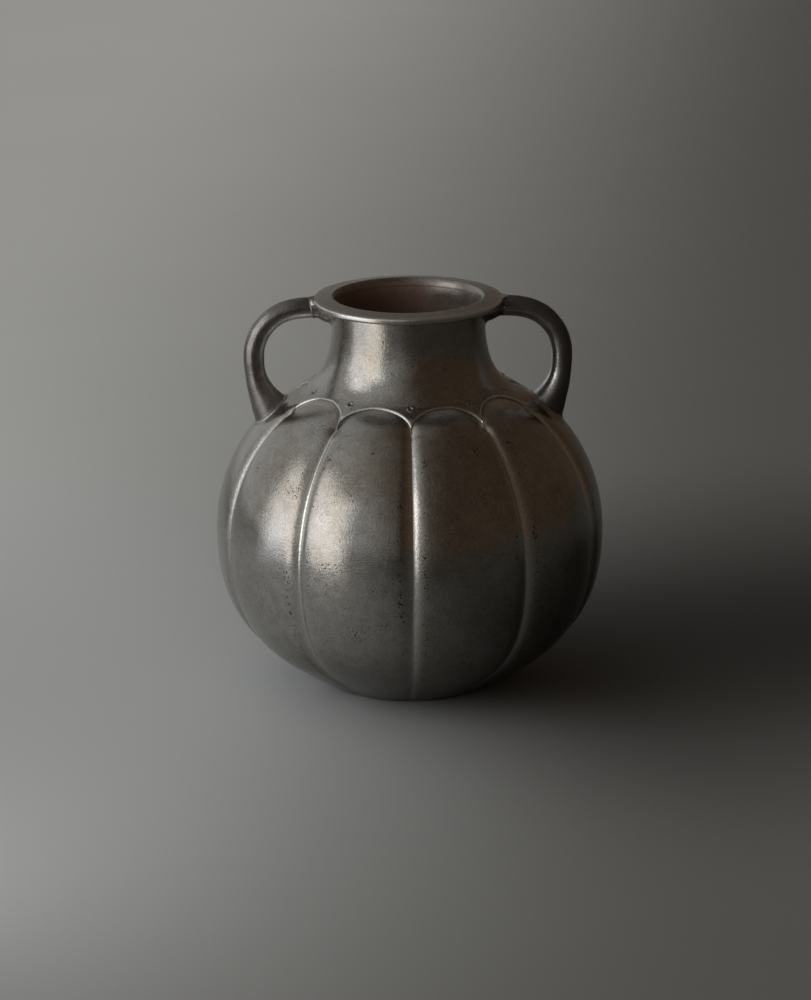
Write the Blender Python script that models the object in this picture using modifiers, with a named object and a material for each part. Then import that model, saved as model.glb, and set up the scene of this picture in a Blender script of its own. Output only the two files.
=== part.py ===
# Pewter vase. A round body of ten lobes is closed below by a flat base disc. A shoulder and neck
# casting laps over its top with a scalloped edge, and a broad flat rim sits on the neck. Two ear
# handles are soldered to lugs under the rim and to the lobes at the left and right.
# The vase stands on z = 0 and its axis is Z. The handles lie along X, and a groove faces -Y.

from math import cos, pi, radians, sin, tan

import bmesh
import bpy
import numpy as np

mm = 0.001

# Play kept between pieces that touch
clearance = 0.3 * mm

# Crest line of the lobes, from the foot to the widest place. An ease is the reach of a curve's
# pull at its end, as a share of the way to the next place
footRadius = 39.6 * mm
footLift = 0.4 * mm
footSlope = radians(31)
footEase = 0.64
bodyRadius = 88.2 * mm
widestHeight = 71 * mm
bellyEaseBelow = 0.62
bellyEaseAbove = 0.57

# The shoulder and the neck above it
shoulderRadius = 50 * mm
shoulderHeight = 136.4 * mm
shoulderSlope = radians(25)
shoulderEaseOut = 0.41
shoulderEaseIn = 0.46
neckRadius = 34.7 * mm
neckWall = 2.5 * mm
neckEase = 0.76
neckStraight = 8 * mm

# Lobes and grooves
lobeCount = 10
grooveDepth = 2.65 * mm
grooveFadeLength = 20 * mm
edgeStart = 0.75
edgeShare = 0.45
bodyWall = 2.9 * mm

# Scalloped joint: the arch over each lobe springs from the grooves at springRadius and rises to
# crownRadius. The body's plain collar goes on under the shoulder past the crowns, and the neck
# casting has a notch inside, beyond the collar's end, for a ring of solder
springRadius = 57.5 * mm
crownRadius = 45.8 * mm
archPower = 2.2
edgeStep = 0.7 * mm
tipLength = 6 * mm
lapDepth = 1.2 * mm
lapWidth = 3 * mm
collarReach = 4.3 * mm
collarWall = 1.5 * mm
notchRoom = 0.6 * mm
notchBevel = 1.2 * mm

# Punched dots between the arches, a little above the crowns
dotBallRadius = 0.9 * mm
dotDepth = 0.5 * mm
dotSetback = 0.6 * mm

# Rim: its top falls outwards, and its mouth overlaps the neck's bore
rimHeight = 180 * mm
rimRadius = 42.9 * mm
rimThickness = 3.6 * mm
rimFall = 1 * mm
rimEdgeRound = 0.8 * mm
rimBoreRelief = 0.2 * mm
rimLipWidth = 2.2 * mm
rimLipRound = 1.6 * mm

# Base disc, inside the flat ring under the body's foot
footRingWidth = 1.8 * mm
baseThickness = 2.6 * mm
baseChamfer = 0.3 * mm

# Solder
beadRadius = 0.7 * mm
baseBeadInset = 0.5 * mm
solderThickness = 0.8 * mm
solderOverhang = 0.25 * mm
solderRound = 0.2 * mm

# Handle: its centre line from the seam near the rim, over the ear and into the shoulder, as
# (share of the way out from the seam to the ear's outermost place, share of the way up from the
# foot to the seam, and for the foot the section's thickness as a multiple of the handle's)
seamStandOff = 0.2 * mm
seamDrop = 5.4 * mm
earInset = 18.8 * mm
handleFootDrop = 14.2 * mm
handleThickness = 9.4 * mm
straightEnd = 1 * mm
earShares = [
    (0.319, 0.987),
    (0.544, 0.950),
    (0.734, 0.884),
    (0.897, 0.778),
    (0.981, 0.656),
    (1.000, 0.542),
    (0.981, 0.428),
]
footShares = [
    (0.932, 0.324, 1.15),
    (0.856, 0.231, 1.38),
    (0.776, 0.153, 1.68),
    (0.688, 0.078, 1.94),
    (0.608, 0.000, 2.13),
]

# Lug: the stub under the rim that the handle is soldered to, widening until it is buried in the
# neck's side, as (share of the way in, share of the drop, thickness as a multiple)
lugBury = 1.7 * mm
lugDrop = 2.4 * mm
lugRimInset = 2.3 * mm
lugShares = [
    (0.31, 0.25, 1.04),
    (0.66, 0.71, 1.26),
    (1.00, 1.00, 1.40),
]

# Places that follow from the sizes
neckTopHeight = rimHeight - rimThickness - clearance
neckFootHeight = neckTopHeight - neckStraight
boreRadius = footRadius - footRingWidth
baseRadius = boreRadius - clearance
seamRadius = rimRadius + seamStandOff
seamHeight = rimHeight - seamDrop
earRadius = bodyRadius - earInset
handleFootHeight = shoulderHeight - handleFootDrop

# Fineness of the meshes
columnOffsets = [-1.0, -0.91, -0.75, -0.4, 0.0, 0.4, 0.75, 0.91]
turnSteps = 72
ringSteps = 48
bellyRings = 16
insideRings = 13
neckRings = 10
tubeSides = 12
morphLength = 20 * mm
crownMargin = 2 * mm

for obj in list(bpy.data.objects):
    bpy.data.objects.remove(obj, do_unlink=True)

vase = bpy.data.collections.new("pewter_vase")
cutters = bpy.data.collections.new("cutters")
cutters.hide_render = True
bpy.context.scene.collection.children.link(vase)
bpy.context.scene.collection.children.link(cutters)


def makeMaterial(name, colour, roughness):
    material = bpy.data.materials.new(name)
    material.use_nodes = True
    shader = material.node_tree.nodes["Principled BSDF"]
    shader.inputs["Base Color"].default_value = (*colour, 1.0)
    shader.inputs["Metallic"].default_value = 1.0
    shader.inputs["Roughness"].default_value = roughness
    material.diffuse_color = (*colour, 1.0)
    return material


def makeObject(name, mesh, material):
    """A sub-part of the vase in its own collection, with its finish."""
    obj = bpy.data.objects.new(name, mesh)
    vase.objects.link(obj)
    obj.data.materials.append(material)
    return obj


def makeCutter(name, mesh):
    obj = bpy.data.objects.new(name, mesh)
    cutters.objects.link(obj)
    obj.display_type = "WIRE"
    obj.hide_render = True
    return obj


def shadeRound(mesh, angle=35):
    mesh.shade_smooth()
    mesh.set_sharp_from_angle(angle=radians(angle))


def addBoolean(obj, other, operation):
    modifier = obj.modifiers.new(operation.lower() + "_" + other.name, "BOOLEAN")
    modifier.operation = operation
    modifier.solver = "EXACT"
    modifier.object = other


def bezier(p0, p1, p2, p3, count):
    t = np.linspace(0, 1, count)[:, None]
    ends = np.array([p0, p1, p2, p3])
    start = (1 - t) ** 3 * ends[0] + 3 * (1 - t) ** 2 * t * ends[1]
    return start + 3 * (1 - t) * t**2 * ends[2] + t**3 * ends[3]


def crestLine():
    """Points (radius, height) of the lobes' crest, the shoulder and the neck, from the foot to the rim."""
    foot = (footRadius, footLift)
    footPull = footEase * (bodyRadius - footRadius)
    footAim = (footRadius + footPull * cos(footSlope), footLift + footPull * sin(footSlope))
    widest = (bodyRadius, widestHeight)
    bellyLow = (bodyRadius, widestHeight - bellyEaseBelow * (widestHeight - footLift))
    bellyHigh = (bodyRadius, widestHeight + bellyEaseAbove * (shoulderHeight - widestHeight))
    shoulder = (shoulderRadius, shoulderHeight)
    outPull = shoulderEaseOut * (bodyRadius - shoulderRadius)
    inPull = shoulderEaseIn * (shoulderRadius - neckRadius)
    shoulderOut = (
        shoulderRadius + outPull * cos(shoulderSlope),
        shoulderHeight - outPull * sin(shoulderSlope),
    )
    shoulderIn = (
        shoulderRadius - inPull * cos(shoulderSlope),
        shoulderHeight + inPull * sin(shoulderSlope),
    )
    neckFoot = (neckRadius, neckFootHeight)
    neckAim = (neckRadius, neckFootHeight - neckEase * (neckFootHeight - shoulderHeight))
    neckTop = (neckRadius, neckTopHeight)
    lower = bezier(foot, footAim, bellyLow, widest, 200)
    upper = bezier(widest, bellyHigh, shoulderOut, shoulder, 200)
    throat = bezier(shoulder, shoulderIn, neckAim, neckFoot, 200)
    return np.concatenate([lower, upper[1:], throat[1:], np.linspace(neckFoot, neckTop, 60)[1:]])


crest = crestLine()
crestRun = np.concatenate([[0], np.cumsum(np.hypot(*np.diff(crest, axis=0).T))])
crestSlope = np.gradient(crest, crestRun, axis=0)
crestSlope /= np.hypot(*crestSlope.T)[:, None]
topRun = crestRun[-1]


def runAtRadius(radius):
    """Distance along the crest line, above the widest place, to where it has this radius."""
    above = np.argmax(crest[:, 0])
    return float(np.interp(-radius, -crest[above:, 0], crestRun[above:]))


springRun = runAtRadius(springRadius)
crownRun = runAtRadius(crownRadius)
collarRun = crownRun + collarReach
archHeight = crownRun - springRun
archHalfWidth = springRadius * pi / lobeCount


def crestPoint(run, depth):
    """Radius and height of the place at this run, this far inside the crest line."""
    radius = np.interp(run, crestRun, crest[:, 0])
    height = np.interp(run, crestRun, crest[:, 1])
    slopeOut = np.interp(run, crestRun, crestSlope[:, 0])
    slopeUp = np.interp(run, crestRun, crestSlope[:, 1])
    return radius - depth * slopeUp, height + depth * slopeOut


def smooth(t):
    t = np.clip(t, 0, 1)
    return t * t * (3 - 2 * t)


def archRun(across):
    """Run of the arch line, where across is 0 on a lobe's middle and 1 in a groove."""
    return springRun + archHeight * (1 - np.abs(across) ** archPower) ** (1 / archPower)


def archLean(across):
    """Steepness of the arch line, held at 6 where it meets the groove."""
    a = np.minimum(np.abs(across), 0.995)
    rise = a ** (archPower - 1) * (1 - a**archPower) ** (1 / archPower - 1)
    return np.minimum(archHeight / archHalfWidth * rise, 6)


def valleyDepth(run):
    """Depth of the groove's line below the crest: it runs out upwards between the arches."""
    radius = np.interp(run, crestRun, crest[:, 0])
    fade = 0.35 + 0.65 * smooth(run / grooveFadeLength)
    climb = np.clip((run - springRun) / archHeight, 0, 1)
    return grooveDepth * np.minimum(radius, bodyRadius) / bodyRadius * fade * (1 - climb) ** 1.5


def cushion(ratio):
    """Shape across a lobe from its crest, 0, to its edge, 1: a round back with a steeper edge."""
    edge = np.maximum(0, (ratio - edgeStart) / (1 - edgeStart))
    return (1 - edgeShare) * ratio**2 + edgeShare * edge**2


def lobeDepth(across, run):
    """Depth of a lobe's surface below the crest line."""
    a = np.abs(across)
    climb = np.clip((run - springRun) / archHeight, 0, 1)
    ratio = np.minimum((a**archPower + climb**archPower) ** (1 / archPower), 1)
    step = edgeStep * smooth(1 + (run - springRun) / tipLength)
    return (valleyDepth(run) + step) * cushion(ratio)


def lapRamp(across, run):
    """Share of the lap's full depth, by the distance inwards from the arch line."""
    inward = (run - archRun(across)) / np.sqrt(1 + archLean(across) ** 2)
    return smooth(inward / lapWidth)


lobeAngle = 2 * pi / lobeCount
columns = [(lobe, offset) for lobe in range(lobeCount) for offset in columnOffsets]
columnAcross = np.array([offset for lobe, offset in columns])
columnAzimuth = np.array([(lobe + offset / 2) * lobeAngle for lobe, offset in columns])


def gridMesh(name, rows):
    """Closed mesh from rings of (radius, height), each ring given as arrays over the columns.
    Every quad is cut along the diagonal that rises towards its lobe's middle, so that two shells
    which follow each other keep their gap."""
    rings = []
    for radius, height in rows:
        x = radius * np.cos(columnAzimuth)
        y = radius * np.sin(columnAzimuth)
        rings.append(np.stack([x, y, height + 0 * x], axis=1))
    count = len(columnAzimuth)
    here = np.arange(count)
    following = np.roll(here, -1)
    rising = columnAcross < 0
    faces = []
    for index, ring in enumerate(rings):
        other = (index + 1) % len(rings)
        near = index * count
        far = other * count
        upwards = rings[other][:, 2].mean() > ring[:, 2].mean()
        forward = rising if upwards else ~rising
        nearEnd = np.where(forward, far + following, far + here)
        farStart = np.where(forward, near + here, near + following)
        faces.append(np.stack([near + here, near + following, nearEnd], axis=1))
        faces.append(np.stack([farStart, far + following, far + here], axis=1))
    mesh = bpy.data.meshes.new(name)
    mesh.from_pydata(np.concatenate(rings).tolist(), [], np.concatenate(faces).tolist())
    shadeRound(mesh)
    return mesh


lapShares = [0.0, 0.12, 0.3, 0.6, 1.0]


def lobeRows(grow):
    """Rings over the lobes from the foot up to the arch line, larger than the body by this much."""
    lowRun = springRun - morphLength
    runs = [run + 0 * columnAcross for run in np.linspace(0, lowRun, bellyRings)]
    for share in np.linspace(0, 1, 7)[1:]:
        runs.append(lowRun + share * (archRun(columnAcross) - lowRun))
    return [crestPoint(run, lobeDepth(columnAcross, run) - grow) for run in runs]


def bodyMesh():
    rows = lobeRows(0)
    for share in lapShares[1:]:
        run = archRun(columnAcross) + share * (collarRun - archRun(columnAcross))
        depth = valleyDepth(run) + edgeStep + lapDepth * lapRamp(columnAcross, run)
        rows.append(crestPoint(run, depth))
    collarDepth = edgeStep + lapDepth + collarWall
    for run in np.linspace(collarRun, 0, insideRings):
        climb = np.clip((run - springRun) / archHeight, 0, 1)
        hollow = 0.85 * valleyDepth(run) * cushion(np.abs(columnAcross))
        start = smooth(run / grooveFadeLength)
        depth = bodyWall + (collarDepth - bodyWall) * climb + start * hollow
        rows.append(crestPoint(run, depth))
    innerRadius, innerHeight = rows[-1]
    rows.append((boreRadius, innerHeight - (innerRadius - boreRadius) * tan(footSlope)))
    rows.append((boreRadius, footLift))
    return gridMesh("body_shell", rows)


def neckMesh():
    highRun = crownRun + crownMargin
    rows = []
    for run in np.linspace(topRun, highRun, neckRings):
        rows.append(crestPoint(run, 0 * columnAcross))
    for share in (0.3, 0.65, 1.0):
        run = highRun + share * (archRun(columnAcross) - highRun)
        rows.append(crestPoint(run, valleyDepth(run)))
    lapInside = edgeStep - clearance
    for share in lapShares:
        run = archRun(columnAcross) + share * (collarRun - archRun(columnAcross))
        depth = valleyDepth(run) + lapInside + lapDepth * lapRamp(columnAcross, run)
        rows.append(crestPoint(run, depth))
    notchRun = collarRun + 2 * (clearance + beadRadius) + notchRoom
    rows.append(crestPoint(notchRun, lapInside + lapDepth + 0 * columnAcross))
    for run in np.linspace(notchRun + notchBevel, topRun, neckRings - 3):
        rows.append(crestPoint(run, neckWall + 0 * columnAcross))
    return gridMesh("shoulder_neck", rows[::-1])


def clearanceMesh():
    """Solid body, larger by the clearance, that the handles' feet are cut with."""
    coreRadius = 5 * mm
    rows = lobeRows(clearance)
    rows.append((coreRadius, handleFootHeight))
    rows.append((coreRadius, coreRadius))
    return gridMesh("body_clearance", rows)


def arc(centre, radius, start, end, count):
    angles = np.radians(np.linspace(start, end, count))
    return [(centre[0] + radius * cos(a), centre[1] + radius * sin(a)) for a in angles]


def turnedMesh(name, outline, closed):
    """Outline at +X for a Screw modifier: closed for a ring, or open from the axis to the axis."""
    points = [(x, 0, z) for x, z in outline]
    edges = [(i, i + 1) for i in range(len(points) - 1)]
    if closed:
        edges.append((len(points) - 1, 0))
    mesh = bpy.data.meshes.new(name)
    mesh.from_pydata(points, edges, [])
    return mesh


def addTurn(obj, steps=turnSteps):
    screw = obj.modifiers.new("turn", "SCREW")
    screw.axis = "Z"
    screw.angle = 2 * pi
    screw.steps = steps
    screw.render_steps = steps
    screw.use_merge_vertices = True
    screw.merge_threshold = 0.00001
    screw.use_smooth_shade = True


def rimOutline():
    bottom = rimHeight - rimThickness
    outerTop = rimHeight - rimFall
    bore = neckRadius - neckWall + rimBoreRelief
    fall = np.degrees(np.arctan2(rimFall, rimRadius - bore - rimLipWidth))
    edge = rimRadius - rimEdgeRound
    topEdge = arc((edge, outerTop - rimEdgeRound), rimEdgeRound, 90 - fall, 0, 4)
    bottomEdge = arc((edge, bottom + rimEdgeRound), rimEdgeRound, 0, -90, 3)
    lip = [
        (bore + rimLipWidth * (1 - cos(a)), rimHeight - rimLipRound * (1 - sin(a)))
        for a in np.radians(np.linspace(0, 90, 4))
    ]
    return topEdge + bottomEdge + [(bore, bottom)] + lip


def discOutline():
    return [
        (0, baseThickness),
        (baseRadius - baseChamfer, baseThickness),
        (baseRadius, baseThickness - baseChamfer),
        (baseRadius, baseChamfer),
        (baseRadius - baseChamfer, 0),
        (0, 0),
    ]


def beadOutline(centreRadius, centreHeight):
    return arc((centreRadius, centreHeight), beadRadius, 90, -210, 6)


def neckClearanceOutline():
    """Room for the neck, and for the mouth above it, that the lugs are cut with."""
    roomDepth = 26 * mm
    ceiling = rimHeight + rimThickness
    rimBottom = rimHeight - rimThickness + clearance
    heights = np.linspace(rimBottom, rimBottom - roomDepth, 14)
    throat = crest[crestRun > crownRun]
    radii = np.interp(heights, throat[:, 1], throat[:, 0]) + clearance
    upper = neckRadius + lugRimInset
    above = [(0, ceiling), (upper, ceiling), (upper, heights[0])]
    return above + list(zip(radii, heights)) + [(0, heights[-1])]


def handleLine():
    """Centre line and section radius of the right handle, as arrays (distance, height, radius)."""
    start = seamRadius + 2 * clearance + solderThickness
    rise = seamHeight - handleFootHeight
    knots = []
    for outward, upward, *swell in earShares + footShares:
        x = seamRadius + outward * (earRadius - seamRadius)
        z = handleFootHeight + upward * rise
        thickness = handleThickness * swell[0] if swell else handleThickness
        knots.append((x, z, thickness / 2))
    return tubeLine(start, straightEnd, knots, 4)


def lugLine():
    """Centre line and section radius of the right lug, from the seam inwards."""
    inner = neckRadius - lugBury
    knots = []
    for inward, drop, swell in lugShares:
        x = seamRadius + inward * (inner - seamRadius)
        knots.append((x, seamHeight - drop * lugDrop, swell * handleThickness / 2))
    return tubeLine(seamRadius, -straightEnd, knots, 2)


def tubeLine(start, straight, knots, steps):
    """Line of a handle or lug: level from the seam for a short way, so that its end is upright,
    and then curved through the knots."""
    seam = (start, seamHeight, handleThickness / 2)
    bend = (start + straight, seamHeight, handleThickness / 2)
    return np.concatenate([[seam], splineThrough(np.array([bend] + knots), steps)])


def splineThrough(knots, steps):
    """Catmull-Rom curve through the knots, level where it starts."""
    first = 2 * knots[0] - knots[1]
    first[1] = knots[1][1]
    ends = np.concatenate([[first], knots, [2 * knots[-1] - knots[-2]]])
    t = np.linspace(0, 1, steps, endpoint=False)[:, None]
    pieces = []
    for i in range(len(knots) - 1):
        a, b, c, d = ends[i : i + 4]
        bend = (2 * a - 5 * b + 4 * c - d) * t**2 + (3 * b - a - 3 * c + d) * t**3
        pieces.append(b + 0.5 * ((c - a) * t + bend))
    return np.concatenate(pieces + [knots[-1:]])


def tubeMesh(name, line, side):
    """Round tube along a line in the XZ plane, with filled ends; side is 1 on the right, -1 on the left."""
    curve = bpy.data.curves.new(name, "CURVE")
    curve.dimensions = "3D"
    curve.bevel_depth = 1
    curve.bevel_resolution = tubeSides // 2 - 2
    curve.use_fill_caps = True
    spline = curve.splines.new("POLY")
    spline.points.add(len(line) - 1)
    for point, (x, z, radius) in zip(spline.points, line):
        point.co = (side * x, 0, z, 1)
        point.radius = radius
    holder = bpy.data.objects.new(name, curve)
    cutters.objects.link(holder)
    graph = bpy.context.evaluated_depsgraph_get()
    mesh = bpy.data.meshes.new_from_object(holder.evaluated_get(graph))
    bpy.data.objects.remove(holder)
    bpy.data.curves.remove(curve)
    return sealed(mesh, name)


def sealed(mesh, name):
    """Caps joined to the sides, and the faces turned outwards."""
    shape = bmesh.new()
    shape.from_mesh(mesh)
    bmesh.ops.remove_doubles(shape, verts=shape.verts, dist=0.001 * mm)
    bmesh.ops.recalc_face_normals(shape, faces=shape.faces)
    shape.to_mesh(mesh)
    shape.free()
    mesh.name = name
    shadeRound(mesh)
    return mesh


def bodyHeight(x, y):
    """Height of the lobes' surface above this place, on the body's upper half."""
    radius = np.hypot(x, y)
    turn = np.arctan2(y, x) / lobeAngle
    offset = 2 * (turn - np.round(turn))
    run = np.array([runAtRadius(r) for r in radius])
    depth = lobeDepth(offset, run)
    slopeOut = np.interp(run, crestRun, crestSlope[:, 0])
    return np.interp(run, crestRun, crest[:, 1]) + depth / slopeOut


def footSeam(side):
    """Bead's centre line round a handle's foot, where the handle comes down on the lobe."""
    line = handleLine()
    run = np.concatenate([[0], np.cumsum(np.hypot(*np.diff(line[:, :2], axis=0).T))])
    along = np.gradient(line[:, :2], run, axis=0)
    swell = np.gradient(line[:, 2], run)
    seam = []
    for angle in np.linspace(0, 2 * pi, 28, endpoint=False):
        sideways = np.stack([along[:, 1], 0 * run, -along[:, 0]], axis=1) * cos(angle)
        sideways[:, 1] = sin(angle)
        points = np.stack([line[:, 0], 0 * run, line[:, 1]], axis=1) + line[:, 2:3] * sideways
        above = points[:, 2] - bodyHeight(points[:, 0], points[:, 1])
        last = np.flatnonzero(above > 0)[-1]
        share = above[last] / (above[last] - above[last + 1])
        place = points[last] + share * (points[last + 1] - points[last])
        ahead = np.array([along[last, 0], 0, along[last, 1]])
        outward = sideways[last] - swell[last] * ahead
        outward /= np.linalg.norm(outward)
        upward = surfaceNormal(place)
        reach = (clearance + beadRadius) / (1 + outward @ upward)
        centre = place + reach * (outward + upward)
        seam.append((side * centre[0], centre[1], centre[2]))
    return seam


def surfaceNormal(place):
    """Outward direction of the lobes' surface near this place."""
    step = 0.2 * mm
    x = place[0] + np.array([0, step, 0])
    y = place[1] + np.array([0, 0, step])
    height = bodyHeight(x, y)
    normal = np.array([(height[0] - height[1]) / step, (height[0] - height[2]) / step, 1])
    return normal / np.linalg.norm(normal)


def beadMesh(name, points):
    """Closed bead of solder along these points."""
    curve = bpy.data.curves.new(name, "CURVE")
    curve.dimensions = "3D"
    curve.bevel_depth = beadRadius
    curve.bevel_resolution = 1
    spline = curve.splines.new("POLY")
    spline.points.add(len(points) - 1)
    for point, place in zip(spline.points, points):
        point.co = (*place, 1)
    spline.use_cyclic_u = True
    holder = bpy.data.objects.new(name, curve)
    cutters.objects.link(holder)
    graph = bpy.context.evaluated_depsgraph_get()
    mesh = bpy.data.meshes.new_from_object(holder.evaluated_get(graph))
    bpy.data.objects.remove(holder)
    bpy.data.curves.remove(curve)
    return sealed(mesh, name)


def dotsMesh():
    """Balls that punch the dots, one on each groove's line between two arches."""
    radius, height = crestPoint(crownRun + dotSetback, dotDepth - dotBallRadius)
    shape = bmesh.new()
    for lobe in range(lobeCount):
        ball = bmesh.ops.create_uvsphere(shape, u_segments=8, v_segments=6, radius=dotBallRadius)
        angle = (lobe + 0.5) * lobeAngle
        place = (radius * cos(angle), radius * sin(angle), height)
        bmesh.ops.translate(shape, verts=ball["verts"], vec=place)
    mesh = bpy.data.meshes.new("dots")
    shape.to_mesh(mesh)
    shape.free()
    return mesh


def makeBody(finish):
    makeObject("body_shell", bodyMesh(), finish)


def makeNeck(finish):
    neck = makeObject("shoulder_neck", neckMesh(), finish)
    addBoolean(neck, makeCutter("dot_punches", dotsMesh()), "DIFFERENCE")


def makeRim(finish):
    room = makeCutter("neck_clearance", turnedMesh("neck_clearance", neckClearanceOutline(), False))
    addTurn(room)
    rim = makeObject("rim_ring", turnedMesh("rim_ring", rimOutline(), True), finish)
    addTurn(rim)
    for side, name in ((-1, "lug_left"), (1, "lug_right")):
        lug = makeCutter(name, tubeMesh(name, lugLine(), side))
        addBoolean(lug, room, "DIFFERENCE")
        addBoolean(rim, lug, "UNION")


def makeBase(finish):
    addTurn(makeObject("base_disc", turnedMesh("base_disc", discOutline(), False), finish))


def makeHandles(finish):
    room = makeCutter("body_clearance", clearanceMesh())
    for side, name in ((-1, "handle_left"), (1, "handle_right")):
        handle = makeObject(name, tubeMesh(name, handleLine(), side), finish)
        addBoolean(handle, room, "DIFFERENCE")


def makeSeamSolder(name, side, finish):
    """Thin disc of solder between a lug and the handle's upper end."""
    bpy.ops.mesh.primitive_cylinder_add(
        vertices=24,
        radius=handleThickness / 2 + solderOverhang,
        depth=solderThickness,
        location=(side * (seamRadius + clearance + solderThickness / 2), 0, seamHeight),
        rotation=(0, pi / 2, 0),
    )
    disc = bpy.context.active_object
    disc.name = name
    for holder in list(disc.users_collection):
        holder.objects.unlink(disc)
    vase.objects.link(disc)
    disc.data.materials.append(finish)
    rounding = disc.modifiers.new("rounding", "BEVEL")
    rounding.width = solderRound
    rounding.segments = 2
    shadeRound(disc.data)


def makeSolder(finish):
    for side, word in ((-1, "left"), (1, "right")):
        makeSeamSolder("solder_seam_" + word, side, finish)
        name = "solder_foot_" + word
        makeObject(name, beadMesh(name, footSeam(side)), finish)
    reach = clearance + beadRadius
    low = beadOutline(baseRadius - baseBeadInset, baseThickness + reach)
    addTurn(makeObject("solder_base", turnedMesh("solder_base", low, True), finish), ringSteps)
    ringRun = collarRun + reach
    inside = edgeStep + lapDepth + beadRadius
    radius, height = crestPoint(ringRun, inside)
    high = beadOutline(float(radius), float(height))
    addTurn(makeObject("solder_shoulder", turnedMesh("solder_shoulder", high, True), finish), ringSteps)


bodyPewter = makeMaterial("cast_pewter", (0.205, 0.196, 0.180), 0.38)
handlePewter = makeMaterial("handle_pewter", (0.180, 0.155, 0.132), 0.42)
solderPewter = makeMaterial("solder", (0.42, 0.41, 0.39), 0.45)

makeBody(bodyPewter)
makeNeck(bodyPewter)
makeRim(bodyPewter)
makeBase(bodyPewter)
makeHandles(handlePewter)
makeSolder(solderPewter)
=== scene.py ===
from math import cos, pi, radians, sin, tan

import bpy
import numpy as np
from mathutils import Matrix, Vector


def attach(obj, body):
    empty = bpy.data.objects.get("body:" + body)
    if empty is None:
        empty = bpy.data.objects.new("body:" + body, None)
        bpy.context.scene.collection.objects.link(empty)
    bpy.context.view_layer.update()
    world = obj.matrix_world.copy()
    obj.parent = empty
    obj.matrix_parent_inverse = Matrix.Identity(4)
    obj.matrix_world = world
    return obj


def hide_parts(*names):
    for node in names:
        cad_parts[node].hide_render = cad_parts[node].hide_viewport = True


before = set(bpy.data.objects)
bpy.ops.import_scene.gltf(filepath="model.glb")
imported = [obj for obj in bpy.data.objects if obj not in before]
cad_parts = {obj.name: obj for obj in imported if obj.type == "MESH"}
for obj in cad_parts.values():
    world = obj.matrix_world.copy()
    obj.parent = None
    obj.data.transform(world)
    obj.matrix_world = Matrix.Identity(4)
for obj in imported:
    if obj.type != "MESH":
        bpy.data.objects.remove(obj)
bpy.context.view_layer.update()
mm = 0.001
print("frame loaded")


# Meshes

def addObject(name, data):
    # An object at the origin, linked to the scene
    thing = bpy.data.objects.new(name, data)
    bpy.context.scene.collection.objects.link(thing)
    return thing


def ringFaces(rows, columns, closeRows):
    # Quads between neighbouring rings of points. Each ring closes on itself, and with closeRows the
    # last ring joins the first
    row = np.arange(rows if closeRows else rows - 1)[:, None]
    column = np.arange(columns)[None, :]
    nextRow = (row + 1) % rows
    nextColumn = (column + 1) % columns
    corners = [row * columns + column, row * columns + nextColumn,
               nextRow * columns + nextColumn, nextRow * columns + column]
    return np.stack(corners, axis=-1).reshape(-1, 4)


def makePiece(name, rings, material, node, capped=False, marks=None, sharp=50):
    # Closed mesh from rings of points in mm, shape (rows, columns, 3). Its volume, a sum of signed
    # tetrahedra to the origin, tells whether the faces have to be turned outwards
    rows, columns = rings.shape[:2]
    points = rings.reshape(-1, 3) * mm
    quads = ringFaces(rows, columns, not capped)
    a, b, c, d = (points[quads[:, i]] for i in range(4))
    volume = (np.cross(a, b) * c).sum() + (np.cross(a, c) * d).sum()
    faces = quads.tolist()
    if capped:
        faces.append(list(range(columns))[::-1])
        faces.append(list(range((rows - 1) * columns, rows * columns)))
        for ring, turn in ((points[:columns], -1), (points[-columns:], 1)):
            volume += turn * (np.cross(ring, np.roll(ring, -1, axis=0)) * ring.mean(axis=0)).sum()
    if volume < 0:
        faces = [face[::-1] for face in faces]
    mesh = bpy.data.meshes.new(name)
    mesh.from_pydata(points.tolist(), [], faces)
    mesh.shade_smooth()
    mesh.set_sharp_from_angle(angle=radians(sharp))
    for mark, values in (marks or {}).items():
        attribute = mesh.attributes.new(mark, "FLOAT", "POINT")
        values = np.broadcast_to(values, (rows, columns)).ravel()
        attribute.data.foreach_set("value", values.astype(np.float32))
    mesh.materials.append(material)
    piece = addObject(name, mesh)
    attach(piece, "root")
    if node:
        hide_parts(node)


def bezier(ends, count):
    # Cubic curve: each of the four points weighs in by its Bernstein polynomial
    t = np.linspace(0, 1, count)[:, None]
    p = np.array(ends, float)
    return (1 - t) ** 3 * p[0] + 3 * (1 - t) ** 2 * t * p[1] + 3 * (1 - t) * t**2 * p[2] + t**3 * p[3]


def fullTurn(count):
    # Angles once round, without the last, which would be the first again
    return np.linspace(0, 2 * pi, count, endpoint=False)


def between(start, end, count, ease=1):
    # Steps from start to end, without the first. With an ease over 1 they lie closer at the end
    share = 1 - (1 - np.linspace(0, 1, count)[1:, None]) ** ease
    return start + share * (end - start)


def unit(vectors):
    # The same directions with length 1
    return vectors / np.linalg.norm(vectors, axis=-1, keepdims=True)


def measure(line):
    # Distance along a line, from its first two coordinates, and its direction at each point
    run = np.concatenate([[0], np.cumsum(np.hypot(*np.diff(line[:, :2], axis=0).T))])
    return run, unit(np.gradient(line[:, :2], run, axis=0))


def smooth(t):
    # 0 to 1 with level ends: 3t^2 - 2t^3
    t = np.clip(t, 0, 1)
    return t * t * (3 - 2 * t)


def bell(away, width):
    # 1 in the middle, fading to both sides: exp(-(away / width)^2)
    return np.exp(-((away / width) ** 2))


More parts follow.
